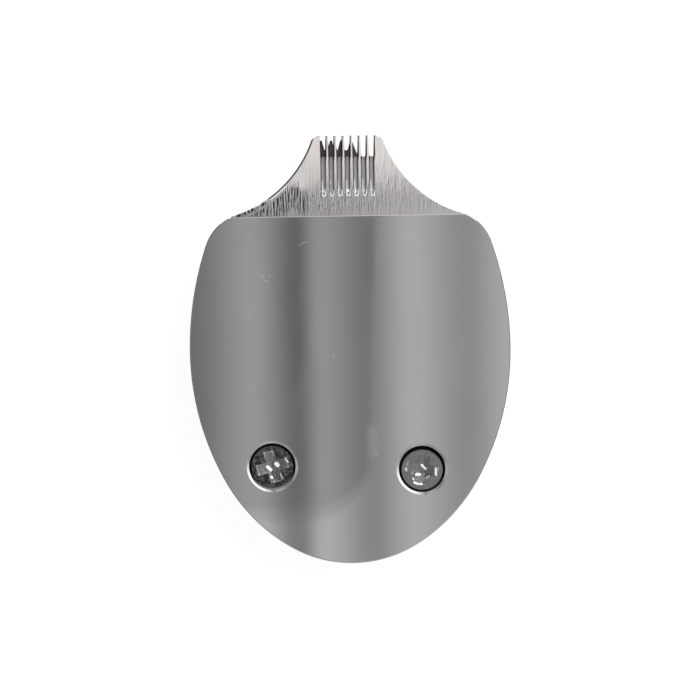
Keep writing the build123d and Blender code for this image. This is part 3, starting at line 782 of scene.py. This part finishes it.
# %% Black base
PLASTIC_COLOURS, PLASTIC_ROUGHS = (linear("#1f1f21"), linear("#2b2b2d")), (0.6, 0.42)
GRAIN_SIZE, GRAIN_NOISE, GRAIN_RELIEF = 0.25, (0.4, 0.65), (0.5, 0.03 * MM)

black, tree = new_material("moulded_abs")
grain = {"Vector": millimetres(tree), "Scale": 1 / GRAIN_SIZE, "Detail": 2.0, "Roughness": 0.4}
grain = add(tree, "ShaderNodeTexNoise", grain)
peaks = within(tree, 1.0, (grain, *GRAIN_NOISE))
surface(tree, peaks, PLASTIC_COLOURS, PLASTIC_ROUGHS, grain, GRAIN_RELIEF, metallic=0.0)
wear(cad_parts["blade_base"], black)

# %% [markdown]
# The yoke is acetal, a hard plastic that slides well. Unpainted it is a waxy off-white. Melt that
# cooled as it filled the mould leaves faint, wide flow marks, and grease has yellowed them a little.

# %% White yoke
ACETAL_COLOURS, ACETAL_ROUGHS = (linear("#dbd8cf"), linear("#cbc5b4")), (0.42, 0.3)
FLOW_MARKS, FLOW_NOISE, FLOW_RELIEF = (0.35, 0.9, 0.35), (0.35, 0.7), (0.3, 0.02 * MM)

white, tree = new_material("natural_acetal")
flow = {"Vector": millimetres(tree, FLOW_MARKS), "Scale": 1.0, "Detail": 3.0, "Distortion": 0.6}
flow = add(tree, "ShaderNodeTexNoise", flow)
greased = within(tree, 1.0, (flow, *FLOW_NOISE))
surface(tree, greased, ACETAL_COLOURS, ACETAL_ROUGHS, greased, FLOW_RELIEF, metallic=0.0)
wear(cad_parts["drive_yoke"], white)

# %% [markdown]
# Two equal screws hold the shield. What repeats is made once with Geometry Nodes: a head with a
# broken rim, a shank and a cross recess, set on two points. Each point carries how far its screw
# is turned and how stained it is. The stain is an attribute that the points hand down: the left
# screw is stained, the right one is clean but for a dark arc of painted shade along its upper rim.
# The driver has chewed the recesses of both and rubbed their walls bright. Their glints are painted
# as pale strokes in a list, as the scratches on the shield are.

# %% Screw steel
HEAD_CLEAN, HEAD_STAINED, HEAD_BLOTCH = linear("#8e8e8e"), linear("#7a7a79"), linear("#3e3e3d")
RECESS_WALL, RECESS_FLOOR, RIM_SHADE = linear("#bdbdba"), linear("#8a8a89"), linear("#161616")
GLINT_PALE = linear("#f0f0ee")
BLOTCH_SIZE, BLOTCH_NOISE = (2.6, 2.6, 2.6), (0.40, 0.56)
CHEW_SIZE, CHEW_DEPTH, CHEWED_FACE, CHEWED_RECESS = (2.4, 2.4, 2.4), 0.2 * MM, 0.12, 0.5
SHADE_DROP, SHADE_EDGE = 0.14, (2.02, 2.08)
TURNED, RUBBED = 0.3, 0.12
# How far below the top of the head the recess and its floor start and are full, in mm.
RECESS_START, RECESS_FULL, FLOOR_START, FLOOR_FULL = 0.03, 0.1, 0.15, 0.25
# Painted glints in the recesses: both ends in mm from the middle of the head, half the width in mm
# and how strong the mark is, for the left screw and for the right one.
RECESS_GLINTS = [
    [
        (0.38, 0.26, 0.50, 0.12, 0.26, 2.5),
        (-0.49, -0.05, -0.18, -0.34, 0.20, 2.5),
        (1.34, 0.80, 1.52, 0.40, 0.12, 2.5),
        (-0.14, -1.04, -0.05, -1.12, 0.15, 2.5),
        (0.80, -0.72, 0.98, -1.2, 0.10, 0.7),
        (0.18, -1.45, 0.2, -1.52, 0.14, 0.6),
        (-0.06, 1.5, 0.22, 1.1, 0.08, 0.4),
        (-0.77, 1.3, -0.75, 0.92, 0.08, 0.4),
    ],
    [
        (-0.02, 0.38, 0.36, -0.02, 0.13, 2.5),
        (-0.56, -0.57, -0.20, -0.57, 0.16, 2.5),
        (-0.78, -1.36, -0.50, -1.48, 0.13, 2.5),
        (-0.50, -1.48, -0.06, -1.52, 0.12, 2.0),
        (1.38, 0.04, 1.37, -0.62, 0.13, 2.5),
        (-1.68, 0.06, -1.56, -0.10, 0.14, 0.7),
        (-0.92, -0.92, -0.86, -1.06, 0.10, 1.5),
        (-1.02, -0.36, -0.98, -0.46, 0.10, 0.6),
        (0.30, -1.0, 0.72, -0.72, 0.09, 0.6),
    ],
]

screw_steel, tree = new_material("turned_screw_steel")
stained = add(tree, "ShaderNodeAttribute", attribute_name="stain").outputs["Fac"]
where = millimetres(tree)
height = add(tree, "ShaderNodeSeparateXYZ", {0: where}).outputs["Z"]
top = screw_top / MM
deep = within(tree, 1.0, (height, top - RECESS_START, top - RECESS_FULL))
deepest = within(tree, 1.0, (height, top - FLOOR_START, top - FLOOR_FULL))
grime = {"Vector": millimetres(tree, BLOTCH_SIZE), "Scale": 1.0, "Detail": 4.0, "Roughness": 0.65}
grime = add(tree, "ShaderNodeTexNoise", grime)
grime = within(tree, 1.0, (grime, *BLOTCH_NOISE))
stain = {FACTOR: grime, COLOUR_A: HEAD_STAINED, COLOUR_B: HEAD_BLOTCH}
stain = add(tree, "ShaderNodeMix", stain, data_type="RGBA")
face = {FACTOR: stained, COLOUR_A: HEAD_CLEAN, COLOUR_B: stain}
face = add(tree, "ShaderNodeMix", face, data_type="RGBA")
shade_middle = screw_places[1] / MM - Vector((0, SHADE_DROP, 0))
on_plan = add(tree, "ShaderNodeVectorMath", {0: where, 1: (1, 1, 0)}, operation="MULTIPLY")
around = {0: on_plan, 1: (shade_middle.x, shade_middle.y, 0)}
around = add(tree, "ShaderNodeVectorMath", around, operation="DISTANCE")
shade = within(tree, 1.0, (around, *SHADE_EDGE), (stained, 1.0, 0.0))
# Painted glints: pale matt strokes in each recess.
painted_glints = 0.0
for place, marks in zip(screw_places, RECESS_GLINTS):
    middle = Vector((place.x / MM, place.y / MM, 0))
    painted_glints = with_strokes(tree, painted_glints, on_plan, middle, marks)

colour = face
layers = ((shade, RIM_SHADE), (deep, RECESS_WALL), (deepest, RECESS_FLOOR), (painted_glints, GLINT_PALE))
for share, paint in layers:
    colour = {FACTOR: share, COLOUR_A: colour, COLOUR_B: paint}
    colour = add(tree, "ShaderNodeMix", colour, data_type="RGBA")
bare = add(tree, "ShaderNodeMath", {0: 1.0, 1: painted_glints}, operation="SUBTRACT", use_clamp=True)
rough = add(tree, "ShaderNodeMapRange", {"Value": deep, "To Min": TURNED, "To Max": RUBBED})
rough = add(tree, "ShaderNodeMix", {FACTOR: painted_glints, NUMBER_A: rough, NUMBER_B: MATT})
chewed = {"Vector": millimetres(tree, CHEW_SIZE), "Scale": 1.0, "Detail": 2.0}
chewed = add(tree, "ShaderNodeTexNoise", chewed)
strength = {"Value": deep, "To Min": CHEWED_FACE, "To Max": CHEWED_RECESS}
strength = add(tree, "ShaderNodeMapRange", strength)
bump = {"Height": chewed, "Strength": strength, "Distance": CHEW_DEPTH}
bump = add(tree, "ShaderNodeBump", bump)
metal = {"Base Color": colour, "Metallic": bare, "Roughness": rough, "Normal": bump}
metal = add(tree, "ShaderNodeBsdfPrincipled", {**metal, "Specular IOR Level": 0.0})
add(tree, "ShaderNodeOutputMaterial", {"Surface": metal})
print("Screw heads end at", round(top, 2), "mm, with", sum(map(len, RECESS_GLINTS)), "painted glints")

# %% [markdown]
# The screw's tree has an input for every size. A cone, a drum and a rod are joined into the turned
# body. A square punch, drawn out to a wing, is used twice for the cross, and with a round pit and a
# cone it makes the shape of a driver bit, which is cut out. The tree ends in real meshes with the
# material set.

# %% Screw tree
SCREW_SIZES = {
    "Head Radius": 2.15 * MM,
    "Top Radius": 2.05 * MM,
    "Rim": 0.1 * MM,
    "Head Height": 1.0 * MM,
    "Shank Radius": 1.25 * MM,
    "Shank Length": 6.0 * MM,
    "Span": 3.2 * MM,
    "Wing": 1.1 * MM,
    "Punch Depth": 0.95 * MM,
    "Pit": 0.8 * MM,
    "Pit Floor": 0.5 * MM,
    "Bit Radius": 2.0 * MM,
    "Bit Depth": 0.85 * MM,
}
PUNCH_TAPER = 0.85
ROUND_SIDES, SHANK_SIDES, PIT_SIDES = 96, 48, 32


def screw_tree():
    tree = bpy.data.node_groups.new("cross_head_screws", "GeometryNodeTree")
    sockets(tree, "INPUT", "Geometry", "Points")
    sockets(tree, "INPUT", "Float", *SCREW_SIZES)
    sockets(tree, "INPUT", "Material", "Steel")
    sockets(tree, "OUTPUT", "Geometry", "Screws")
    given = add(tree, "NodeGroupInput").outputs

    # The turned body, with the foot of its rim at Z zero.
    rim = {"Radius Top": given["Top Radius"], "Radius Bottom": given["Head Radius"]}
    rim = {**rim, "Vertices": ROUND_SIDES, "Depth": given["Rim"]}
    rim = add(tree, "GeometryNodeMeshCone", rim)
    drum = {"Vertices": ROUND_SIDES, "Radius": given["Head Radius"], "Depth": given["Head Height"]}
    drum = add(tree, "GeometryNodeMeshCylinder", drum)
    rod = {"Vertices": SHANK_SIDES, "Radius": given["Shank Radius"], "Depth": given["Shank Length"]}
    rod = add(tree, "GeometryNodeMeshCylinder", rod)
    seat = add(tree, "ShaderNodeMath", {0: given["Head Height"], 1: -1.0}, operation="MULTIPLY")
    drum_z = add(tree, "ShaderNodeMath", {0: seat, 1: 0.5}, operation="MULTIPLY")
    rod_z = {0: given["Shank Length"], 1: -0.5, 2: seat}
    rod_z = add(tree, "ShaderNodeMath", rod_z, operation="MULTIPLY_ADD")
    body = {"Mesh 2": rim.outputs["Mesh"]}
    body = add(tree, "GeometryNodeMeshBoolean", body, operation="UNION", solver="EXACT")
    for shape, z in ((drum, drum_z), (rod, rod_z)):
        lift = add(tree, "ShaderNodeCombineXYZ", {"Z": z})
        moved = {"Geometry": shape.outputs["Mesh"], "Translation": lift}
        moved = add(tree, "GeometryNodeTransform", moved)
        tree.links.new(moved.outputs[0], body.inputs["Mesh 2"])

    # The recess: a punch of unit size drawn out to one wing, the same across it, and a round pit.
    half_diagonal = math.sqrt(0.5)
    punch = {"Radius Top": half_diagonal, "Radius Bottom": half_diagonal * PUNCH_TAPER, "Depth": 1.0}
    punch = add(tree, "GeometryNodeMeshCone", {"Vertices": 4, **punch})
    punch = {"Geometry": punch.outputs["Mesh"], "Rotation": (0, 0, math.pi / 4)}
    punch = add(tree, "GeometryNodeTransform", punch)
    size = {"X": given["Span"], "Y": given["Wing"], "Z": given["Punch Depth"]}
    size = add(tree, "ShaderNodeCombineXYZ", size)
    sink = {0: given["Rim"], 1: given["Punch Depth"]}
    sink = add(tree, "ShaderNodeMath", sink, operation="SUBTRACT")
    sink = add(tree, "ShaderNodeCombineXYZ", {"Z": sink})
    wing = add(tree, "GeometryNodeTransform", {"Geometry": punch, "Scale": size, "Translation": sink})
    crossing = add(tree, "GeometryNodeTransform", {"Geometry": wing, "Rotation": (0, 0, math.pi / 2)})
    pit = {"Radius Top": given["Pit"], "Radius Bottom": given["Pit Floor"]}
    pit = {**pit, "Vertices": PIT_SIDES, "Depth": given["Punch Depth"]}
    pit = add(tree, "GeometryNodeMeshCone", pit)
    pit = {"Geometry": pit.outputs["Mesh"], "Translation": sink}
    pit = add(tree, "GeometryNodeTransform", pit)
    cross = add(tree, "GeometryNodeMeshBoolean", operation="UNION", solver="EXACT")
    for tool in (wing, crossing, pit):
        tree.links.new(tool.outputs[0], cross.inputs["Mesh 2"])

    # A driver bit is a cross turned to a point, so the cross is kept only inside a cone.
    bit = {"Radius Top": given["Bit Radius"], "Radius Bottom": 0.0, "Depth": given["Bit Depth"]}
    bit = add(tree, "GeometryNodeMeshCone", {"Vertices": ROUND_SIDES, **bit})
    bit_sink = {0: given["Rim"], 1: given["Bit Depth"]}
    bit_sink = add(tree, "ShaderNodeMath", bit_sink, operation="SUBTRACT")
    bit_sink = add(tree, "ShaderNodeCombineXYZ", {"Z": bit_sink})
    bit = {"Geometry": bit.outputs["Mesh"], "Translation": bit_sink}
    bit = add(tree, "GeometryNodeTransform", bit)
    recess = {"Mesh 2": cross.outputs["Mesh"]}
    recess = add(tree, "GeometryNodeMeshBoolean", recess, operation="INTERSECT", solver="EXACT")
    tree.links.new(bit.outputs[0], recess.inputs["Mesh 2"])
    cut = {"Mesh 1": body.outputs["Mesh"], "Mesh 2": recess.outputs["Mesh"]}
    cut = add(tree, "GeometryNodeMeshBoolean", cut, operation="DIFFERENCE", solver="EXACT")

    turn = add(tree, "GeometryNodeInputNamedAttribute", {"Name": "turn"}, data_type="FLOAT").outputs[0]
    turn = add(tree, "ShaderNodeCombineXYZ", {"Z": turn})
    placed = {"Points": given["Points"], "Instance": cut.outputs["Mesh"], "Rotation": turn}
    placed = add(tree, "GeometryNodeInstanceOnPoints", placed)
    real = add(tree, "GeometryNodeRealizeInstances", {"Geometry": placed})
    done = add(tree, "GeometryNodeSetMaterial", {"Geometry": real, "Material": given["Steel"]})
    add(tree, "NodeGroupOutput", {0: done})
    return tree


maker_tree = screw_tree()
print("Screw tree:", len(maker_tree.nodes), "nodes")

# %% [markdown]
# The places come from the CAD screws, which these then replace. The result is turned into a plain
# mesh, and a Bevel modifier breaks its edges, because only a rounded edge can catch a glint.

# %% Screws
SCREW_TURNS = (14, -13)
SCREW_STAINS = (1.0, 0.0)
EDGE_BREAK, EDGE_SEGMENTS = 0.07 * MM, 3
SHARP = math.radians(25)

rim_foot = Vector((0, 0, -SCREW_SIZES["Rim"]))
places = [place + rim_foot for place in screw_places]
spots = bpy.data.meshes.new("screw_spots")
spots.from_pydata(places, [], [])
turns = [math.radians(turn) for turn in SCREW_TURNS]
spots.attributes.new("turn", "FLOAT", "POINT").data.foreach_set("value", turns)
spots.attributes.new("stain", "FLOAT", "POINT").data.foreach_set("value", SCREW_STAINS)
screws = bpy.data.objects.new("screws", spots)
scene.collection.objects.link(screws)
maker = screws.modifiers.new("screws", "NODES")
maker.node_group = maker_tree
for item in maker_tree.interface.items_tree:
    if item.in_out == "INPUT" and item.name in SCREW_SIZES:
        maker[item.identifier] = SCREW_SIZES[item.name]
    if item.in_out == "INPUT" and item.name == "Steel":
        maker[item.identifier] = screw_steel
made = screws.evaluated_get(bpy.context.evaluated_depsgraph_get())
plain = bpy.data.meshes.new_from_object(made)
screws.modifiers.remove(maker)
screws.data = plain
plain.shade_smooth()
plain.set_sharp_from_angle(angle=SHARP)
edges = screws.modifiers.new("broken_edges", "BEVEL")
edges.width = EDGE_BREAK
edges.segments = EDGE_SEGMENTS
edges.limit_method = "ANGLE"
edges.angle_limit = SHARP
edges.harden_normals = True
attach(screws, "blade_body")
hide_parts("blade_screws")
print("Screws:", len(plain.polygons), "faces, turned by", SCREW_TURNS, "degrees")

# %% [markdown]
# Blender doesn't change the part's size.

low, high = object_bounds()
print("Shown box in mm:", [round(x / MM, 2) for x in high - low])
